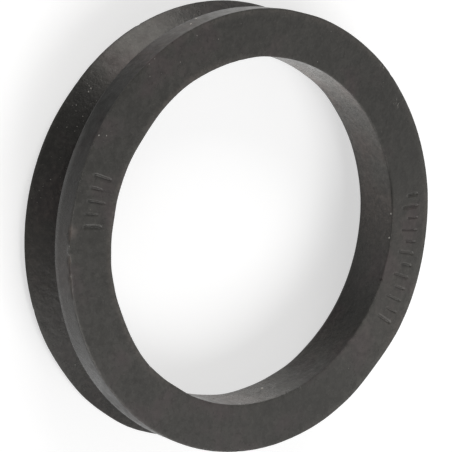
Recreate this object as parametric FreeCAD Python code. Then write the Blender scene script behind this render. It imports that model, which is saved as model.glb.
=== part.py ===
import FreeCAD, Part
import math
import os

# Rubber sealing ring for a turning shaft, moulded in one piece. A square body
# grips the shaft, and a cone-shaped lip, hinged at the body's inner front
# corner, runs against a flat wall. The groove between them lets the lip bend.
# The ring lies lip down: Z is its axis, Z = 0 is the plane that the lip
# touches, and the flat back face looks up. Lengths are in millimetres.

# Body, at its free size, before it is stretched over the shaft
bore_radius = 18.0
body_height = 5.0  # from the bore out to the rim
body_length = 5.5  # along the shaft, at the bore
rim_length = 3.05  # along the axis, from the back face to the groove
rim_draft = 0.1  # the rim narrows by this much towards the groove

# Lip
overall_width = 9.0  # from the back face to the sealing edge
lip_reach = 4.35  # from the bore out to the sealing edge
lip_end_width = 1.25  # the lip's end face, square to its cone
lip_root_thickness = 1.25  # at the bottom of the groove

# Groove between the body and the lip
groove_floor_height = 1.2  # from the bore out to where the groove's sides meet

# Radii of the section's corners. The back face's two edges and the sealing
# edge are as sharp as the mould leaves them.
groove_edge_round = 0.3
groove_floor_round = 0.35
lip_back_round = 0.12
front_bore_round = 0.3
sharp = 0


def section_point(height, depth):
    """Point of the section, out from the bore and forward from the back face."""
    return FreeCAD.Vector(bore_radius + height, 0, overall_width - depth)


def lip_angle():
    """Angle between the lip's cone and the back face, in radians.

    The cone runs from the bore's front corner to the sealing edge.
    """
    return math.atan2(overall_width - body_length, lip_reach)


def groove_floor():
    """Where the groove's sides meet, the lip's root thickness behind the cone."""
    angle = lip_angle()
    cone_depth = body_length + groove_floor_height * math.tan(angle)
    return section_point(groove_floor_height, cone_depth - lip_root_thickness / math.cos(angle))


def sealing_edge():
    """Edge of the cone and the lip's end face, which touches the wall."""
    return section_point(lip_reach, overall_width)


def lip_back_corner():
    """Outer corner of the lip, square behind the sealing edge."""
    angle = lip_angle()
    backward = FreeCAD.Vector(math.sin(angle), 0, math.cos(angle))
    return sealing_edge() + backward * lip_end_width


def section_corners():
    """Corners of the section with their radii, from the back of the bore outwards."""
    return [
        (section_point(0, 0), sharp),
        (section_point(body_height, 0), sharp),
        (section_point(body_height - rim_draft, rim_length), groove_edge_round),
        (groove_floor(), groove_floor_round),
        (lip_back_corner(), lip_back_round),
        (sealing_edge(), sharp),
        (section_point(0, body_length), front_bore_round),
    ]


def corner_arc(before, corner, after, radius):
    """Arc that rounds a corner and meets both of its sides tangentially."""
    towards_before = (before - corner).normalize()
    towards_after = (after - corner).normalize()
    half_angle = towards_before.getAngle(towards_after) / 2
    side_length = radius / math.tan(half_angle)
    towards_centre = (towards_before + towards_after).normalize()
    corner_to_arc = radius / math.sin(half_angle) - radius
    return Part.Arc(
        corner + towards_before * side_length,
        corner + towards_centre * corner_to_arc,
        corner + towards_after * side_length,
    )


def corner_bend(before, corner, after, radius):
    """A corner's first and last points, and its arc if it has a radius."""
    if radius == sharp:
        return corner, corner, []
    arc = corner_arc(before, corner, after, radius)
    return arc.StartPoint, arc.EndPoint, [arc.toShape()]


def rounded_outline(corners):
    """Closed wire of straight sides, with an arc at each corner that has a radius."""
    points = [point for point, radius in corners]
    bends = []
    for index, (point, radius) in enumerate(corners):
        following = points[(index + 1) % len(points)]
        bends.append(corner_bend(points[index - 1], point, following, radius))
    edges = []
    for index, (start, end, arc) in enumerate(bends):
        side_start = bends[index - 1][1]
        edges.append(Part.LineSegment(side_start, start).toShape())
        edges += arc
    return Part.Wire(edges)


def sealing_ring():
    """The section turned once round the ring's axis."""
    section = Part.Face(rounded_outline(section_corners()))
    return section.revolve(FreeCAD.Vector(0, 0, 0), FreeCAD.Vector(0, 0, 1), 360)


os.makedirs("parts", exist_ok=True)
sealing_ring().exportStep("parts/sealing_ring.step")
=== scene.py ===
import math
import random

import bpy
from mathutils import Matrix, Vector, noise


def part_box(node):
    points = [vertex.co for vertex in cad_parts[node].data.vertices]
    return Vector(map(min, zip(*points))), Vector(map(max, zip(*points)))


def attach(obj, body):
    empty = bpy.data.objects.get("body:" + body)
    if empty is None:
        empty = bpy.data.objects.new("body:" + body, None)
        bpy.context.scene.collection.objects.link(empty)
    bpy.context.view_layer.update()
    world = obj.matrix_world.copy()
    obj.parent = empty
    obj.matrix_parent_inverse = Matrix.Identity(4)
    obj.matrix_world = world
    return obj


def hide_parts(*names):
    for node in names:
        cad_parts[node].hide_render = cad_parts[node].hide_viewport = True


# A rubber sealing ring, lying lip down on a pale floor. Z is its axis and its
# flat back face looks up. The ring's own sizes are in millimetres, and become
# metres where its vertices are made. Angles round the ring are in degrees from
# +X, and the camera stands over -Y.

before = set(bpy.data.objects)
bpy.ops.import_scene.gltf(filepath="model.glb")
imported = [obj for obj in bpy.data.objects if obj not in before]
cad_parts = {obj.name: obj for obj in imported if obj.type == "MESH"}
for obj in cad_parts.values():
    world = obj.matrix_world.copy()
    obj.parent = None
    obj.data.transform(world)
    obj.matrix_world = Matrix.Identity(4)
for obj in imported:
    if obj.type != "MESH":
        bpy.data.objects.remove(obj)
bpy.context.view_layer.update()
MM = 0.001
NODE = "sealing_ring"
node_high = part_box(NODE)[1]

# Section of the ring, as in the CAD
overall_width = node_high.z / MM
bore_radius = 18.0
body_height = 5.0
body_length = 5.5
rim_length = 3.05
rim_draft = 0.1
lip_reach = 4.35
lip_end_width = 1.25
lip_root_thickness = 1.25
groove_floor_height = 1.2
groove_bottom_depth = 4.5
groove_edge_round = 0.3
groove_floor_round = 0.35
lip_back_round = 0.12
front_bore_round = 0.3

# The skin's corners that are sharp in the CAD
fine_round = 0.04

# Sides and corners of the section in turn, from the bore by way of the back face
ZONES = [
    "bore", "bore_back", "face", "rim_back", "rim", "groove_edge", "groove_wall", "groove_floor",
    "lip_back", "lip_corner", "lip_end", "sealing_edge", "cone", "bore_front",
]

# Mesh, finer where the ring has detail
meridian_step = 0.6
ARC_STEPS = [3, 3, 6, 5, 4, 3, 4]
SIDE_STEPS = [0.25, 0.2, 0.2, 0.5, 0.3, 0.35, 0.6]
TAPER_SHARES = (0, 0.2, 0.4, 0.6, 0.8)
side_margin = 0.01

# Two short scales of sunk ticks on the back face: azimuth of the first tick, and how many
SCALES = [(74.0, 12), (266.0, 5)]
tick_pitch = 3.5
tick_depth = 0.12
tick_top_half_angle = 0.365
tick_floor_half_angle = 0.225
tick_clearance = 0.12
tick_tolerance = 0.01
tick_wall = 0.05
tick_outer_radius = 21.45
long_tick = 1.95
short_tick = 1.25

# General unevenness: how deep it is, and how many of its waves there are to a millimetre
slow_unevenness, slow_waves = 0.010, 0.13
fine_unevenness, fine_waves = 0.005, 0.9
edge_unevenness = 0.008
UNEVEN_EDGES = ("rim_back", "bore_back", "lip_corner")
coarse_ragged_waves = 1.9
fine_ragged_waves, fine_ragged_share = 4.7, 0.5
fine_seed, edge_seed, trimmed_seed = 7, 3, 11

# Places along the ring, here and below, are (middle azimuth, half width, how much).
# Where the rim is flattened
FLAT_SPOTS = [(62.0, 13.0, 0.17), (103.0, 12.0, 0.08), (57.0, 38.0, 0.05)]
# Where a part of the section stands further out or in
SHIFTS = {
    "hole_back": [
        (196.5, 8.0, 0.06), (227.5, 13.0, 0.075), (248.5, 11.0, -0.10), (277.0, 7.0, -0.07),
        (293.0, 6.0, 0.055), (310.0, 10.0, -0.08), (327.5, 10.0, 0.085), (344.0, 8.0, -0.075),
    ],
    "hole_front": [(17.0, 10.0, 0.07), (46.0, 10.0, 0.075), (109.0, 12.0, 0.04), (154.0, 12.0, 0.11)],
    "rim": [(39.0, 12.0, 0.04), (93.0, 13.0, -0.07), (151.0, 10.0, 0.04), (183.0, 7.0, -0.06)],
    "lip": [(227.0, 10.0, 0.05), (246.0, 12.0, -0.09), (323.5, 12.0, -0.12), (350.5, 10.0, 0.14)],
}
LIP_SWELL = [(332.0, 30.0, 0.12)]
# Nicks in the edges
EDGE_NICKS = {
    "bore_back": [
        (30.8, 0.6, 0.05), (33.4, 0.5, 0.04), (36.2, 0.6, 0.05), (61.0, 0.7, 0.03), (78.0, 0.9, 0.04),
        (84.9, 0.7, 0.09), (205.0, 0.8, 0.05), (330.0, 0.6, 0.06),
    ],
    "rim_back": [(12.0, 0.8, 0.06), (148.0, 0.7, 0.05), (259.0, 0.5, 0.07)],
    "lip_corner": [(40.0, 0.9, 0.06), (221.0, 0.8, 0.06), (305.0, 0.6, 0.05)],
}

# Stretch of the back face's outer edge that was trimmed unevenly
trimmed_from, trimmed_to, trimmed_fade = 281.0, 300.0, 6.0
trimmed_unevenness = 0.010
trimmed_raggedness = 1.4
# Where that edge was left standing, or cut deeper if below 0, and how far down the rim this goes
TRIMMED = [
    (281.6, 2.8, -0.17), (285.9, 1.6, 0.17), (288.6, 1.8, -0.16), (293.4, 2.4, -0.15), (296.6, 1.4, -0.05),
]
trimmed_depth = 0.45
# Painted light on the deeper cuts of the trimmed edge, and how it fades down the rim
trimmed_painted_light = 18.0
trimmed_painted_light_fade = 0.5

# Stretch where the rim draws in towards the groove
taper_from, taper_to, taper_fade = 260.0, 300.0, 16.0
taper_start = 2.2
taper_sink = 0.11
taper_inside = 1.2
taper_power = 1.6

# How pale the rubber is on each side of the section, with light and shade painted in: the back face and the
# bore paler as painted light, and the rim, the groove and the lip darker as painted shade
TONES_WITH_LIGHT_AND_SHADE = {
    "bore": 1.1, "bore_back": 1.3, "face": 1.15, "rim_back": 1.15, "rim": 0.50, "groove_edge": 0.4,
    "groove_wall": 0.4, "groove_floor": 0.5, "lip_back": 0.5, "lip_corner": 0.6, "lip_end": 0.5,
    "sealing_edge": 0.6, "cone": 0.8, "bore_front": 0.8,
}
DUSTINESS = {
    "bore": 0.9, "bore_back": 0.4, "face": 0.3, "rim_back": 0.4, "rim": 0.5, "groove_edge": 0.4,
    "groove_wall": 0.8, "groove_floor": 1.0, "lip_back": 1.0, "lip_corner": 0.5, "lip_end": 0.4,
    "sealing_edge": 0.2, "cone": 0.4, "bore_front": 0.4,
}
WEAR = {
    "bore_back": 0.15, "rim_back": 0.1, "groove_edge": 0.15, "lip_corner": 0.3, "sealing_edge": 0.5,
    "bore_front": 0.4,
}
# Painted light and shade: where the rubber is paler or darker by a share of its tone, as a painted dark
# line at the hole's edge, painted shade on one side of the back face and a painted highlight on the lip
PAINTED_LIGHT_AND_SHADE = {
    "bore_back": [(115.0, 14.0, -0.45)],
    "face": [(165.0, 90.0, -0.06)],
    "lip_back": [(226.0, 20.0, 3.6)],
}
# Where more or less dust lies
DUST_CHANGES = {"face": [(165.0, 90.0, 0.3)], "lip_back": [(226.0, 26.0, -0.5)]}
# Where a pale bloom lies on the rubber, with painted highlights in it: its paleness on the rim, the lip and
# the bore stands partly for light that falls there
BLOOM_AND_PAINTED_LIGHT = {
    "bore": [
        (20.0, 28.0, 2.6), (47.0, 28.0, 0.6), (112.0, 16.0, 0.35), (141.0, 70.0, 2.85), (163.0, 20.0, 3.6),
    ],
    "face": [(75.0, 50.0, 0.5)],
    "rim": [(213.0, 36.0, 1.6), (293.0, 24.0, 0.75)],
    "lip_back": [(226.0, 20.0, 1.2), (292.0, 20.0, 0.25)],
}
# Painted shade: where the rubber's shine is taken away, so that it looks darker as in shade
PAINTED_SHADE_ON_SHINE = {
    "bore": [(64.0, 30.0, 0.9)],
    "bore_back": [(115.0, 14.0, 0.5)],
    "face": [(140.0, 40.0, 0.12)],
    "rim": [(243.0, 44.0, 1.0)],
    "groove_edge": [(238.0, 26.0, 1.0)],
    "lip_back": [(258.0, 36.0, 0.32)],
}
# Where the rubber is rougher
ROUGH = {
    "bore": [(47.0, 28.0, 0.10)],
    "rim": [(203.0, 16.0, 0.03), (214.0, 36.0, 0.085), (248.0, 30.0, 0.215), (336.0, 22.0, 0.16)],
    "groove_edge": [(238.0, 26.0, 0.25)],
}
# Along a part of the groove edge the rim keeps its shine, without the painted shade, from one depth down to
# another
shine_from, shine_to, shine_fade = 264.0, 300.0, 14.0
painted_shade_from, painted_shade_to = 2.4, 1.8
# Painted highlights along the edges of the face, which make them paler: radius of the edge, first and last
# azimuth, and strength
EDGE_HIGHLIGHTS = [(bore_radius, 215.0, 325.0, 1.2), (bore_radius + body_height, 50.0, 210.0, 0.9)]
edge_highlight_width, edge_highlight_fade = 0.9, 25.0
# A pale patch at the edge of the face, a painted highlight: azimuth, radius, half size and strength. Down
# the rim its size is a share of that.
patch_azimuth, patch_radius, patch_half_size, patch_strength = 281.5, 22.8, 1.0, 1.6
patch_depth_share = 0.5


# Shape of the ring

def section_point(height, depth):
    """(radius, depth from the back face) from a height over the bore and that depth."""
    return Vector((bore_radius + height, depth))


def section_corners():
    """(corner, radius of its rounding), as in the CAD."""
    lip_angle = math.atan2(overall_width - body_length, lip_reach)
    floor_depth = (body_length + groove_floor_height * math.tan(lip_angle)
                   - lip_root_thickness / math.cos(lip_angle))
    sealing_edge = section_point(lip_reach, overall_width)
    lip_back_corner = sealing_edge + lip_end_width * Vector((math.sin(lip_angle), -math.cos(lip_angle)))
    return [
        (section_point(0, 0), fine_round),
        (section_point(body_height, 0), fine_round),
        (section_point(body_height - rim_draft, rim_length), groove_edge_round),
        (section_point(groove_floor_height, floor_depth), groove_floor_round),
        (lip_back_corner, lip_back_round),
        (sealing_edge, fine_round),
        (section_point(0, body_length), front_bore_round),
    ]


def rounded_corner(before, corner, after, radius, steps):
    """Points of the arc that rounds a corner, from its first tangent point to its last."""
    to_before = (before - corner).normalized()
    to_after = (after - corner).normalized()
    half_angle = to_before.angle(to_after) / 2
    centre = corner + (to_before + to_after).normalized() * radius / math.sin(half_angle)
    start = (corner + to_before * radius / math.tan(half_angle) - centre).normalized()
    end = (corner + to_after * radius / math.tan(half_angle) - centre).normalized()
    return [centre + radius * start.slerp(end, step / steps) for step in range(steps + 1)]


def side_shares(start, end, step, extra):
    """Shares of a side at which it is divided: evenly, and at the extra points' places."""
    side = end - start
    marks = [0.0, 1.0]
    for point in extra:
        share = (point - start).dot(side) / side.length_squared
        if side_margin < share < 1 - side_margin:
            marks.append(share)
    marks.sort()
    shares = []
    for low, high in zip(marks, marks[1:]):
        pieces = max(1, round((high - low) * side.length / step))
        shares += [low + (high - low) * k / pieces for k in range(pieces)]
    return shares[1:]


def extra_points(zone):
    """Points that a side needs for the detail on it."""
    if zone == "rim":
        taper_length = rim_length - taper_start
        return [section_point(body_height, taper_start + share * taper_length) for share in TAPER_SHARES]
    if zone == "face":
        ends = [tick_outer_radius, tick_outer_radius - long_tick, tick_outer_radius - short_tick]
        return [Vector((end + offset, 0)) for end in ends for offset in (-tick_wall, tick_wall)]
    return []


def section_outline():
    """Closed outline of the section: (zone, point, outward direction) each."""
    corners = section_corners()
    count = len(corners)
    arcs = []
    for i, (corner, radius) in enumerate(corners):
        before, after = corners[i - 1][0], corners[(i + 1) % count][0]
        arcs.append(rounded_corner(before, corner, after, radius, ARC_STEPS[i]))
    placed = []
    for i, arc in enumerate(arcs):
        side_zone, corner_zone = ZONES[2 * i], ZONES[2 * i + 1]
        start = arcs[i - 1][-1]
        shares = side_shares(start, arc[0], SIDE_STEPS[i], extra_points(side_zone))
        placed += [(side_zone, start.lerp(arc[0], share)) for share in shares]
        placed += [(corner_zone, point) for point in arc]
    outline = []
    for i, (zone, point) in enumerate(placed):
        along = placed[(i + 1) % len(placed)][1] - placed[i - 1][1]
        outline.append((zone, point, Vector((along.y, -along.x)).normalized()))
    return outline


def turn_between(azimuth, other):
    return abs((azimuth - other + 180) % 360 - 180)


def bump(distance, half_width):
    """1 at no distance, falling smoothly to 0 at the half width."""
    return 0.0 if distance >= half_width else (1 + math.cos(math.pi * distance / half_width)) / 2


def plateau(value, low, high, fade):
    """1 from low to high, and smoothly down to 0 outside."""
    return bump(max(low - value, value - high, 0.0), fade)


def strength_at(places, azimuth):
    """What the places along the ring add up to at an azimuth."""
    return sum(strength * bump(turn_between(azimuth, middle), half_width)
               for middle, half_width, strength in places)


def clamped(share):
    return min(1.0, max(0.0, share))


def ticks():
    """(azimuth, inner radius) of each tick."""
    for first, count in SCALES:
        for k in range(count):
            length = long_tick if k % 2 == 0 else short_tick
            yield first + k * tick_pitch, tick_outer_radius - length


TICKS = list(ticks())


def meridian_azimuths():
    """Azimuths of the mesh's meridians, evenly spread but for the ticks' own edges."""
    azimuths = []
    count = round(360 / meridian_step)
    for i in range(count):
        azimuth = 360 * i / count
        if all(turn_between(azimuth, tick) > tick_top_half_angle + tick_clearance for tick, _ in TICKS):
            azimuths.append(azimuth)
    for tick, _ in TICKS:
        for half_angle in (tick_top_half_angle, tick_floor_half_angle):
            azimuths += [tick - half_angle, tick + half_angle]
    return sorted(azimuths)


def tick_sink(radius, azimuth):
    """How deep the back face is sunk by a tick."""
    for tick, inner_radius in TICKS:
        if turn_between(azimuth, tick) < tick_floor_half_angle + tick_tolerance:
            if inner_radius + tick_wall / 2 < radius < tick_outer_radius - tick_wall / 2:
                return tick_depth
    return 0.0


def ragged(place, seed):
    """Noise of two sizes, about 0."""
    coarse = noise.noise(place * coarse_ragged_waves + Vector((seed, 0, 0)))
    return coarse + fine_ragged_share * noise.noise(place * fine_ragged_waves + Vector((0, seed, 0)))


def uneven(zone, place):
    """How far the skin is sunk everywhere. It is never below 0."""
    slow = slow_unevenness * (1 + noise.noise(place * slow_waves))
    fine = fine_unevenness * (1 + noise.noise(place * fine_waves + Vector((fine_seed, 0, 0))))
    edge = edge_unevenness * (1 + ragged(place, edge_seed)) if zone in UNEVEN_EDGES else 0.0
    return max(0.0, slow + fine + edge)


def trimmed_away(zone, place, azimuth):
    """How far the trimmed stretch is finely worn down."""
    if zone != "rim_back":
        return 0.0
    here = plateau(azimuth, trimmed_from, trimmed_to, trimmed_fade)
    return trimmed_unevenness * here * max(0.0, 1 + trimmed_raggedness * ragged(place, trimmed_seed))


def near_trimmed(zone, point):
    """1 at the back face's outer edge, and down to 0 on the rim below it."""
    return max(0.0, 1 - point.y / trimmed_depth) if zone in ("rim_back", "rim") else 0.0


def body_share(depth):
    """1 at the back face and 0 at the bottom of the groove."""
    return max(0.0, 1 - depth / groove_bottom_depth)


def lip_share(depth):
    """0 at the lip's root and 1 at its end."""
    return clamped((depth - body_length) / (overall_width - body_length))


def shifted(point, azimuth):
    """How far outward a point of the section stands, from the places where a part of it does."""
    outside = clamped((point.x - bore_radius) / body_height)
    back = body_share(point.y)
    shares = {"hole_back": (1 - outside) * back, "hole_front": (1 - outside) * (1 - back),
              "rim": outside * back, "lip": outside * lip_share(point.y)}
    return sum(share * strength_at(SHIFTS[part], azimuth) for part, share in shares.items())


def tapered(zone, point, azimuth):
    """How far the rim and the wall of the groove are drawn in."""
    taper = taper_sink * plateau(azimuth, taper_from, taper_to, taper_fade)
    if zone in ("rim", "groove_edge"):
        return taper * clamped((point.y - taper_start) / (rim_length - taper_start)) ** taper_power
    if zone == "groove_wall":
        return taper * bump(bore_radius + body_height - point.x, taper_inside)
    return 0.0


def skin_point(zone, point, outward, azimuth):
    """Place of a point of the skin in millimetres, with all its traces."""
    turn = math.radians(azimuth)
    radius, depth = point
    place = Vector((radius * math.cos(turn), radius * math.sin(turn), overall_width - depth))
    radius, depth = point - outward * (uneven(zone, place) + trimmed_away(zone, place, azimuth))
    rim_share = clamped((radius - bore_radius) / body_height)
    radius -= strength_at(FLAT_SPOTS, azimuth) * rim_share * body_share(depth)
    radius += shifted(point, azimuth)
    if point.x > bore_radius + lip_root_thickness:
        radius += strength_at(LIP_SWELL, azimuth) * lip_share(depth)
    radius += strength_at(TRIMMED, azimuth) * near_trimmed(zone, point)
    radius -= tapered(zone, point, azimuth)
    if zone == "face":
        depth += tick_sink(point.x, azimuth)
    nick = strength_at(EDGE_NICKS.get(zone, ()), azimuth)
    radius -= nick * outward.x
    depth -= nick * outward.y
    return radius * math.cos(turn), radius * math.sin(turn), overall_width - depth


def marks_and_light_shares(zone, point, azimuth):
    """How worn and dusty the skin is here, and how much pale bloom and painted light lie on it, as the
    channels of a colour.
    """
    bloom_and_light = strength_at(BLOOM_AND_PAINTED_LIGHT.get(zone, ()), azimuth)
    # Painted highlights on the face's edges, the trimmed cuts and the pale patch join the bloom.
    if zone == "face":
        for edge, first, last, strength in EDGE_HIGHLIGHTS:
            along_edge = plateau(azimuth, first, last, edge_highlight_fade)
            bloom_and_light += strength * along_edge * bump(abs(point.x - edge), edge_highlight_width)
    cut = max(0.0, -strength_at(TRIMMED, azimuth))
    bloom_and_light += trimmed_painted_light * cut * min(1.0, near_trimmed(zone, point) / trimmed_painted_light_fade)
    if zone in ("face", "rim_back", "rim"):
        along = math.radians(turn_between(azimuth, patch_azimuth)) * patch_radius
        away = math.hypot(along, point.x - patch_radius, point.y / patch_depth_share)
        bloom_and_light += patch_strength * bump(away, patch_half_size)
    dusty = DUSTINESS[zone] + strength_at(DUST_CHANGES.get(zone, ()), azimuth)
    return WEAR.get(zone, 0.0), dusty, bloom_and_light, 1.0


def tone_shade_and_roughness_shares(zone, point, azimuth):
    """Tone of the rubber with its painted light and shade, how much of its shine is taken away as painted
    shade, and how much rougher it is here, as the channels of a colour.
    """
    tone_and_shade = TONES_WITH_LIGHT_AND_SHADE[zone] * (1 + strength_at(PAINTED_LIGHT_AND_SHADE.get(zone, ()), azimuth))
    shine_shade = strength_at(PAINTED_SHADE_ON_SHINE.get(zone, ()), azimuth)
    # Near the groove, along a stretch of the rim, the painted shade is left off.
    if zone == "rim":
        near_groove = clamped((point.y - painted_shade_to) / (painted_shade_from - painted_shade_to))
        shine_shade *= 1 - near_groove * plateau(azimuth, shine_from, shine_to, shine_fade)
    return tone_and_shade, shine_shade, strength_at(ROUGH.get(zone, ()), azimuth), 1.0


def add_object(name, data):
    thing = bpy.data.objects.new(name, data)
    bpy.context.scene.collection.objects.link(thing)
    return thing


def build_ring():
    outline = section_outline()
    azimuths = meridian_azimuths()
    mesh = bpy.data.meshes.new("sealing_ring_skin")
    vertices = []
    for azimuth in azimuths:
        for zone, point, outward in outline:
            vertices.append([length * MM for length in skin_point(zone, point, outward, azimuth)])
    faces = []
    for i in range(len(azimuths)):
        here = i * len(outline)
        there = (i + 1) % len(azimuths) * len(outline)
        for j in range(len(outline)):
            k = (j + 1) % len(outline)
            faces.append((here + j, here + k, there + k, there + j))
    mesh.from_pydata(vertices, [], faces)
    mesh.polygons.foreach_set("use_smooth", [True] * len(mesh.polygons))
    # Of these two colour attributes, the first carries painted light with the bloom, the second painted
    # light and shade with the tone and the taken shine.
    for name, shares_at in (("marks", marks_and_light_shares), ("tone_shade_and_roughness", tone_shade_and_roughness_shares)):
        shares = []
        for azimuth in azimuths:
            for zone, point, _ in outline:
                shares += shares_at(zone, point, azimuth)
        mesh.color_attributes.new(name, "FLOAT_COLOR", "POINT").data.foreach_set("color", shares)
    return add_object("ring_skin", mesh)


# Shader nodes

# Numbers of the Mix node's sockets when it mixes colours
MIX_SHARE, MIX_FIRST, MIX_SECOND, MIX_RESULT = 0, 6, 7, 2


def add_node(tree, kind, inputs=None, **settings):
    """Shader node with its settings, and its inputs as values or as other nodes' outputs."""
    node = tree.nodes.new(kind)
    for name, value in settings.items():
        setattr(node, name, value)
    for name, value in (inputs or {}).items():
        if isinstance(value, bpy.types.NodeSocket):
            tree.links.new(value, node.inputs[name])
        else:
            node.inputs[name].default_value = value
    return node


def add_noise(tree, place, size_mm, detail=2.0, roughness=0.5):
    """Noise with features of about the given size."""
    inputs = {"Vector": place, "Scale": 1 / (size_mm * MM), "Detail": detail, "Roughness": roughness}
    return add_node(tree, "ShaderNodeTexNoise", inputs).outputs["Fac"]


def remap(tree, value, low, high, to_low=0.0, to_high=1.0, smooth=False):
    """Value that goes from to_low to to_high while the given one goes from low to high."""
    inputs = {"Value": value, "From Min": low, "From Max": high, "To Min": to_low, "To Max": to_high}
    kind = "SMOOTHSTEP" if smooth else "LINEAR"
    return add_node(tree, "ShaderNodeMapRange", inputs, interpolation_type=kind).outputs["Result"]


def spread(tree, pattern, half_range, middle, change):
    """Value that follows a noise: from middle - change to middle + change."""
    return remap(tree, pattern, 0.5 - half_range, 0.5 + half_range, middle - change, middle + change)


def combine(tree, operation, first, second):
    return add_node(tree, "ShaderNodeMath", {0: first, 1: second}, operation=operation).outputs[0]


def blend(tree, share, first, second, kind="MIX"):
    """Colour that goes from the first to the second, or to their product."""
    inputs = {MIX_SHARE: share, MIX_FIRST: first, MIX_SECOND: second}
    return add_node(tree, "ShaderNodeMix", inputs, data_type="RGBA", blend_type=kind).outputs[MIX_RESULT]


def scale_colour(tree, colour, factor):
    grey = add_node(tree, "ShaderNodeCombineColor", {"Red": factor, "Green": factor, "Blue": factor})
    return blend(tree, 1.0, colour, grey.outputs[0], "MULTIPLY")


def attribute_channels(tree, name):
    """Red, green and blue of a colour attribute."""
    colour = add_node(tree, "ShaderNodeAttribute", attribute_name=name).outputs["Color"]
    return list(add_node(tree, "ShaderNodeSeparateColor", {0: colour}).outputs)


def new_material(name):
    """(material, its nodes, its shader, place in the object's own axes)."""
    material = bpy.data.materials.new(name)
    material.use_nodes = True
    tree = material.node_tree
    place = add_node(tree, "ShaderNodeTexCoord").outputs["Object"]
    return material, tree, tree.nodes["Principled BSDF"], place


# Rubber

warm_rubber = (0.0224, 0.0175, 0.0176, 1)
cool_rubber = (0.0184, 0.0181, 0.0160, 1)
rubber_shine = (1.0, 0.97, 0.935, 1)
no_shine = (0, 0, 0, 1)
warm_dust = (0.222, 0.186, 0.166, 1)
cool_dust = (0.196, 0.190, 0.172, 1)
specular_level = 0.3

# Patterns in the rubber: their size in millimetres, and the noise's detail and roughness
CLOUDS = (5.5, 3.0, 0.55)
MOTTLE = (1.1, 4.0, 0.62)
GRAIN = (0.30, 4.0, 0.7)
DRIFTS = (9.0, 2.0, 0.5)
PATCHES = (0.55, 4.0, 0.65)
GLOSS = (0.7, 3.0, 0.6)
# Between what values of a noise something goes from its least to its most
COLOUR_RANGE = (0.47, 0.66)
DUST_COLOUR_RANGE = (0.40, 0.60)
HAZE_RANGE = (0.45, 0.75)
BLOOM_AND_LIGHT_RANGE = (0.3, 0.7)
GLOSS_RANGE = (0.3, 0.7)
# The same for a noise whose middle changes nothing, as half of that range
cloud_range, mottle_range, grain_range, drift_range = 0.15, 0.25, 0.3, 0.15
# By what share of the tone they make it paler and darker
mottle_change, grain_change, drift_change = 0.32, 0.5, 0.10
worn_paleness = 2.3
most_haze = 0.10
haze_change = 0.7
least_bloom_and_light, most_bloom_and_light = 0.06, 0.22
# Small dust in the material: spacing in millimetres, share where clean and where dusty, seed, paleness
DUST_SPECKS = [(0.30, 0.06, 0.26, 3.0, 0.22), (0.80, 0.03, 0.18, 8.0, 0.5)]
# How far the largest reaches and how soft its edge is, as shares of the spacing
speck_reach_share = 0.30
speck_edge = 0.06
# A cell has a speck from the first of these sums of luck and share, and the largest at the second
SPECK_RANGE = (1.0, 1.5)
least_roughness, most_roughness = 0.20, 0.36
cloud_roughness = 0.06
grain_relief, mottle_relief = 0.45, 0.8
# How strong the relief is where there is least and most dust
cleanest, dustiest = 0.3, 1.0
clean_relief, dusty_relief = 0.32, 1.0
relief_depth = 0.08


def dust_specks(tree, place, spacing_mm, share, seed):
    """1 inside small specks, one in some of the cells of the given spacing."""
    shifted_place = add_node(tree, "ShaderNodeVectorMath", {0: place, 1: (seed, seed, 0)}, operation="ADD")
    cell_inputs = {"Vector": shifted_place.outputs[0], "Scale": 1 / (spacing_mm * MM)}
    cells = add_node(tree, "ShaderNodeTexVoronoi", cell_inputs)
    luck = add_node(tree, "ShaderNodeSeparateColor", {0: cells.outputs["Color"]}).outputs[0]
    reach = remap(tree, combine(tree, "ADD", luck, share), *SPECK_RANGE, 0.0, speck_reach_share)
    inside = combine(tree, "SUBTRACT", reach, cells.outputs["Distance"])
    return remap(tree, inside, 0.0, speck_edge, smooth=True)


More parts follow.
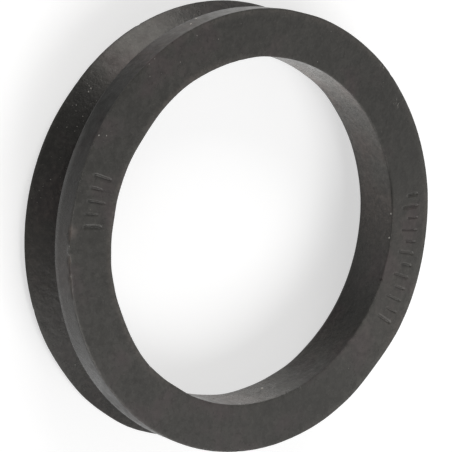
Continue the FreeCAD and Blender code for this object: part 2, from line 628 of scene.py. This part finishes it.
def rubber_material():
    material, tree, shader, place = new_material("rubber")
    worn, dusty, bloom_and_light = attribute_channels(tree, "marks")
    tone_and_shade, shine_shade, rougher = attribute_channels(tree, "tone_shade_and_roughness")

    clouds = add_noise(tree, place, *CLOUDS)
    mottle = add_noise(tree, place, *MOTTLE)
    grain = add_noise(tree, place, *GRAIN)
    drifts = add_noise(tree, place, *DRIFTS)
    colour = blend(tree, remap(tree, clouds, *COLOUR_RANGE, smooth=True), cool_rubber, warm_rubber)
    colour = scale_colour(tree, colour, spread(tree, mottle, mottle_range, 1.0, mottle_change))
    colour = scale_colour(tree, colour, spread(tree, grain, grain_range, 1.0, grain_change))
    colour = scale_colour(tree, colour, spread(tree, drifts, drift_range, 1.0, drift_change))
    # The tone carries the painted light and shade of each side of the section.
    colour = scale_colour(tree, colour, tone_and_shade)
    colour = scale_colour(tree, colour, remap(tree, worn, 0.0, 1.0, 1.0, worn_paleness))

    patches = add_noise(tree, place, *PATCHES)
    haze = remap(tree, patches, *HAZE_RANGE, 0.0, most_haze)
    haze = combine(tree, "MULTIPLY", haze, dusty)
    haze = combine(tree, "MULTIPLY", haze, spread(tree, clouds, cloud_range, 1.0, haze_change))
    # The bloom's paleness is partly painted highlight.
    bloom_and_highlight = combine(tree, "MULTIPLY", remap(tree, patches, *BLOOM_AND_LIGHT_RANGE, least_bloom_and_light, most_bloom_and_light), bloom_and_light)
    dust = combine(tree, "ADD", haze, bloom_and_highlight)
    for spacing, clean_share, dusty_share, seed, paleness in DUST_SPECKS:
        share = remap(tree, dusty, 0.0, 1.0, clean_share, dusty_share)
        specks = combine(tree, "MULTIPLY", dust_specks(tree, place, spacing, share, seed), paleness)
        dust = combine(tree, "MAXIMUM", dust, specks)
    dust_colour = blend(tree, remap(tree, drifts, *DUST_COLOUR_RANGE, smooth=True), cool_dust, warm_dust)
    tree.links.new(blend(tree, dust, colour, dust_colour), shader.inputs["Base Color"])

    gloss = add_noise(tree, place, *GLOSS)
    roughness = remap(tree, gloss, *GLOSS_RANGE, least_roughness, most_roughness)
    roughness = combine(tree, "ADD", roughness, rougher)
    roughness = combine(tree, "ADD", roughness, spread(tree, clouds, cloud_range, 0.0, cloud_roughness))
    tree.links.new(roughness, shader.inputs["Roughness"])
    shader.inputs["Specular IOR Level"].default_value = specular_level
    # Where the shine is taken away, that is painted shade.
    tree.links.new(blend(tree, shine_shade, rubber_shine, no_shine), shader.inputs["Specular Tint"])

    fine_relief = combine(tree, "MULTIPLY", grain, grain_relief)
    relief = combine(tree, "ADD", fine_relief, combine(tree, "MULTIPLY", mottle, mottle_relief))
    coarseness = remap(tree, dusty, cleanest, dustiest, clean_relief, dusty_relief)
    bump_inputs = {"Height": relief, "Strength": coarseness, "Distance": relief_depth * MM}
    tree.links.new(add_node(tree, "ShaderNodeBump", bump_inputs).outputs[0], shader.inputs["Normal"])
    return material


# Dust and scratches that have a shape of their own

dark_crumb = (0.07, 0.066, 0.06, 1)
pale_crumb = (0.85, 0.82, 0.76, 1)
crumb_mottle_size = 0.05
CRUMB_RANGE = (0.3, 0.7)
crumb_darkest = 0.7
crumb_roughness = 0.9
crumb_specular_level = 0.2


def dust_material():
    material, tree, shader, place = new_material("dust")
    pale = add_node(tree, "ShaderNodeAttribute", attribute_name="pale").outputs["Fac"]
    colour = blend(tree, pale, dark_crumb, pale_crumb)
    mottle = remap(tree, add_noise(tree, place, crumb_mottle_size), *CRUMB_RANGE, crumb_darkest, 1.0)
    tree.links.new(scale_colour(tree, colour, mottle), shader.inputs["Base Color"])
    shader.inputs["Roughness"].default_value = crumb_roughness
    shader.inputs["Specular IOR Level"].default_value = crumb_specular_level
    return material


# Small specks: zone, middle azimuth, how far they reach on both sides, and how many
DUST_GROUPS = [
    ("lip_back", 250.0, 28.0, 90), ("lip_back", 0.0, 180.0, 90), ("groove_wall", 0.0, 180.0, 40),
    ("face", 0.0, 180.0, 40), ("rim", 0.0, 180.0, 50), ("bore", 0.0, 180.0, 60), ("cone", 0.0, 180.0, 40),
]
# Larger specks: zone, azimuth, radius on the face or else depth, size and paleness
BIG_SPECKS = [
    ("lip_back", 243.3, 7.0, 0.11, 0.6), ("lip_back", 244.4, 7.09, 0.10, 0.6),
    ("lip_back", 245.2, 6.35, 0.06, 0.2), ("lip_back", 249.2, 7.25, 0.09, 0.3),
    ("lip_back", 249.8, 7.35, 0.07, 0.2), ("lip_back", 250.6, 7.1, 0.06, 0.3),
    ("lip_back", 251.0, 6.41, 0.08, 0.3), ("lip_back", 255.6, 7.12, 0.08, 0.3),
    ("lip_back", 254.2, 6.43, 0.08, 0.2), ("lip_back", 256.6, 7.6, 0.06, 0.2),
    ("rim", 212.6, 2.56, 0.13, 1.0), ("rim", 216.0, 1.7, 0.12, 1.0),
    ("face", 217.8, 22.07, 0.07, 0.3), ("face", 211.5, 20.85, 0.07, 0.3), ("face", 233.8, 22.9, 0.07, 0.3),
    ("face", 231.8, 22.83, 0.06, 0.3), ("face", 225.5, 20.67, 0.06, 0.3), ("face", 235.6, 21.75, 0.06, 0.3),
    ("face", 256.4, 22.93, 0.10, 0.4), ("face", 255.4, 21.94, 0.08, 0.4), ("face", 136.3, 18.65, 0.06, 0.3),
    ("bore", 107.5, 0.1, 0.13, 1.0), ("bore", 99.3, 0.15, 0.12, 1.0), ("bore", 28.9, 3.66, 0.17, 1.0),
    ("rim_back", 280.6, 0.02, 0.09, 0.12), ("rim_back", 284.9, 0.02, 0.09, 0.15),
    ("rim_back", 292.3, 0.02, 0.09, 0.15),
]
# Fine scratches on the back face: azimuth and radius of both ends, width and paleness
STROKES = [
    (141.7, 22.18, 140.9, 21.98, 0.05, 0.25), (140.0, 22.17, 139.4, 21.57, 0.07, 0.40),
    (140.7, 21.99, 140.3, 21.45, 0.05, 0.20), (141.1, 21.66, 140.9, 21.35, 0.05, 0.15),
    (139.4, 21.94, 138.7, 21.55, 0.05, 0.20), (152.8, 22.92, 152.1, 22.51, 0.06, 0.30),
    (151.7, 22.81, 150.8, 22.69, 0.06, 0.30),
]
dust_seed = 41
smallest_speck, largest_speck = 0.022, 0.075
# Over 1, more of them are small
small_speck_power = 2
palest_small_speck = 0.4
speck_corners = 5
# Shares of a speck's size, and of a step from corner to corner
speck_turn_play = 0.3
SPECK_REACH = (0.6, 1.1)
SPECK_HEIGHT = (0.35, 0.7)
speck_foot = 0.5
speck_headroom = 0.002
lowest_speck = 0.05
stroke_rise = 0.008


def speck_points(place, outward, size, rng):
    """Points of a small crumb that is half sunk in the skin: its rim, its top and its foot."""
    along = outward.orthogonal().normalized()
    across = outward.cross(along)
    points = []
    for k in range(speck_corners):
        turn = 2 * math.pi * (k + rng.uniform(-speck_turn_play, speck_turn_play)) / speck_corners
        reach = size * rng.uniform(*SPECK_REACH)
        points.append(place + (along * math.cos(turn) + across * math.sin(turn)) * reach)
    points.append(place + outward * size * rng.uniform(*SPECK_HEIGHT))
    points.append(place - outward * size * speck_foot)
    return points


def stroke_points(start, end, width):
    """Points of a thin sliver that lies on the back face: its outline, its top and its foot."""
    middle = (start + end) / 2
    along = end - start
    across = Vector((-along.y, along.x, 0)).normalized() * width / 2
    rise = Vector((0, 0, stroke_rise))
    return [start, middle - across, end, middle + across, middle + rise, middle - 2 * rise]


def crumb_faces(first, corners):
    """Faces from an outline of some corners to the top and the foot that follow it."""
    for k in range(corners):
        here, following = first + k, first + (k + 1) % corners
        yield here, following, first + corners
        yield following, here, first + corners + 1


def zone_place(zone, point):
    """Where a point of the section is in its zone: its radius on the face, or else its depth."""
    return point.x if zone == "face" else point.y


def scattered_specks(outline, rng):
    """(zone, azimuth, place in the zone, size, paleness) of the specks that lie anywhere."""
    for zone, centre, reach, count in DUST_GROUPS:
        places = [zone_place(zone, point) for name, point, _ in outline if name == zone]
        for _ in range(count):
            growth = rng.random() ** small_speck_power
            size = smallest_speck * (largest_speck / smallest_speck) ** growth
            azimuth = centre + rng.uniform(-1, 1) * reach
            where = rng.uniform(min(places), max(places))
            yield zone, azimuth, where, size, rng.random() * palest_small_speck


def below_face(points):
    """The points, none of them higher than the back face."""
    for point in points:
        point.z = min(point.z, overall_width - speck_headroom)
    return points


def dust_crumbs():
    """(points, paleness) of every speck and scratch: the last two points are the top and the foot."""
    rng = random.Random(dust_seed)
    outline = section_outline()
    for zone, azimuth, where, size, pale in list(scattered_specks(outline, rng)) + BIG_SPECKS:
        stations = [station for station in outline if station[0] == zone]
        _, point, outward = min(stations, key=lambda station: abs(zone_place(zone, station[1]) - where))
        turn = math.radians(azimuth)
        place = Vector(skin_point(zone, point, outward, azimuth % 360))
        facing = Vector((outward.x * math.cos(turn), outward.x * math.sin(turn), -outward.y))
        points = below_face(speck_points(place, facing, size, rng))
        if min(speck_point.z for speck_point in points) > lowest_speck:
            yield points, pale
    for azimuth, radius, last_azimuth, last_radius, width, pale in STROKES:
        start, end = (Vector(skin_point("face", Vector((reach, 0)), Vector((0, -1)), turned))
                      for reach, turned in ((radius, azimuth), (last_radius, last_azimuth)))
        yield below_face(stroke_points(start, end, width)), pale


def build_dust():
    vertices = []
    faces = []
    shades = []
    for points, pale in dust_crumbs():
        faces += crumb_faces(len(vertices), len(points) - 2)
        vertices += points
        shades += [pale] * len(points)
    mesh = bpy.data.meshes.new("dust_specks")
    mesh.from_pydata([vertex * MM for vertex in vertices], [], faces)
    mesh.attributes.new("pale", "FLOAT", "POINT").data.foreach_set("value", shades)
    return add_object("dust", mesh)


ring = build_ring()
ring.data.materials.append(rubber_material())
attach(ring, "root")
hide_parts(NODE)
dust = build_dust()
dust.data.materials.append(dust_material())
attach(dust, "root")


# Camera: it looks down on the back face, rolled so that the ring's axis points to the right

axis_to_view = math.radians(37.839)
axis_roll = math.radians(14.311)
camera_distance = 0.295
pixels_per_mm = 9.765
image_side = 452
face_centre_column = 257.09
face_centre_row = 232.24
sensor_mm = 36.0
nearest_seen = 0.01


def place_camera():
    tilt_sin, tilt_cos = math.sin(axis_to_view), math.cos(axis_to_view)
    roll_sin, roll_cos = math.sin(axis_roll), math.cos(axis_roll)
    right = Vector((-roll_sin, tilt_cos * roll_cos, tilt_sin * roll_cos))
    up = Vector((-roll_cos, -tilt_cos * roll_sin, -tilt_sin * roll_sin))
    back = Vector((0, -tilt_sin, tilt_cos))
    turn = Matrix((right, up, back)).transposed()
    half = image_side / 2
    face_centre = Vector((0, 0, overall_width * MM))
    seen_at = Vector(((face_centre_column - half) / pixels_per_mm * MM,
                      -(face_centre_row - half) / pixels_per_mm * MM,
                      -camera_distance))
    camera = add_object("camera", bpy.data.cameras.new("camera"))
    camera.matrix_world = Matrix.Translation(face_centre - turn @ seen_at) @ turn.to_4x4()
    camera.data.sensor_width = sensor_mm
    camera.data.lens = sensor_mm * pixels_per_mm / MM * camera_distance / image_side
    camera.data.clip_start = nearest_seen
    bpy.context.scene.camera = camera


# Floor and light

world_light = 0.10
white = (1, 1, 1, 1)
floor_colour = (0.6, 0.6, 0.6, 1)
floor_half_side = 3.0
floor_lift = 0.58
lamp_distance = 0.6
lamp_side = 0.4
plain_light = (1.0, 1.0, 1.0)
# Azimuth, elevation, power and colour
LAMPS = {
    "left_light": (192, 27, 1.91, (1.0, 0.985, 0.965)),
    "right_light": (340, 20, 0.95, plain_light),
    "back_light": (35, 55, 2.1, plain_light),
    "far_light": (90, 35, 0.33, plain_light),
}


def seen_or_reflected(tree):
    """1 for rays from the camera, and for glossy and transmission rays."""
    path = add_node(tree, "ShaderNodeLightPath").outputs
    seen = combine(tree, "MAXIMUM", path["Is Camera Ray"], path["Is Glossy Ray"])
    return combine(tree, "MAXIMUM", seen, path["Is Transmission Ray"])


def make_world():
    world = bpy.data.worlds.new("studio")
    world.use_nodes = True
    bpy.context.scene.world = world
    tree = world.node_tree
    background = tree.nodes["Background"]
    background.inputs["Color"].default_value = white
    strength = remap(tree, seen_or_reflected(tree), 0.0, 1.0, world_light, 1.0)
    tree.links.new(strength, background.inputs["Strength"])


def make_floor():
    side = floor_half_side
    corners = [(-side, -side, 0), (side, -side, 0), (side, side, 0), (-side, side, 0)]
    mesh = bpy.data.meshes.new("floor")
    mesh.from_pydata(corners, [], [(0, 1, 2, 3)])
    floor = add_object("floor", mesh)
    material = bpy.data.materials.new("pale_floor")
    material.use_nodes = True
    tree = material.node_tree
    shader = tree.nodes["Principled BSDF"]
    shader.inputs["Base Color"].default_value = floor_colour
    shader.inputs["Roughness"].default_value = 1.0
    shader.inputs["Specular IOR Level"].default_value = 0.0
    shader.inputs["Emission Color"].default_value = white
    lift = combine(tree, "MULTIPLY", seen_or_reflected(tree), floor_lift)
    tree.links.new(lift, shader.inputs["Emission Strength"])
    mesh.materials.append(material)


def add_softbox(name, azimuth, elevation, power, colour):
    """Square area light that looks at the ring."""
    azimuth, elevation = math.radians(azimuth), math.radians(elevation)
    away = Vector((math.cos(azimuth) * math.cos(elevation), math.sin(azimuth) * math.cos(elevation),
                   math.sin(elevation)))
    light = bpy.data.lights.new(name, "AREA")
    light.size = lamp_side
    light.energy = power
    light.color = colour
    lamp = add_object(name, light)
    lamp.location = away * lamp_distance
    lamp.rotation_euler = away.to_track_quat("Z", "Y").to_euler()


place_camera()
make_world()
make_floor()
for lamp_name, lamp_values in LAMPS.items():
    add_softbox(lamp_name, *lamp_values)

bpy.context.scene.view_settings.view_transform = "Standard"
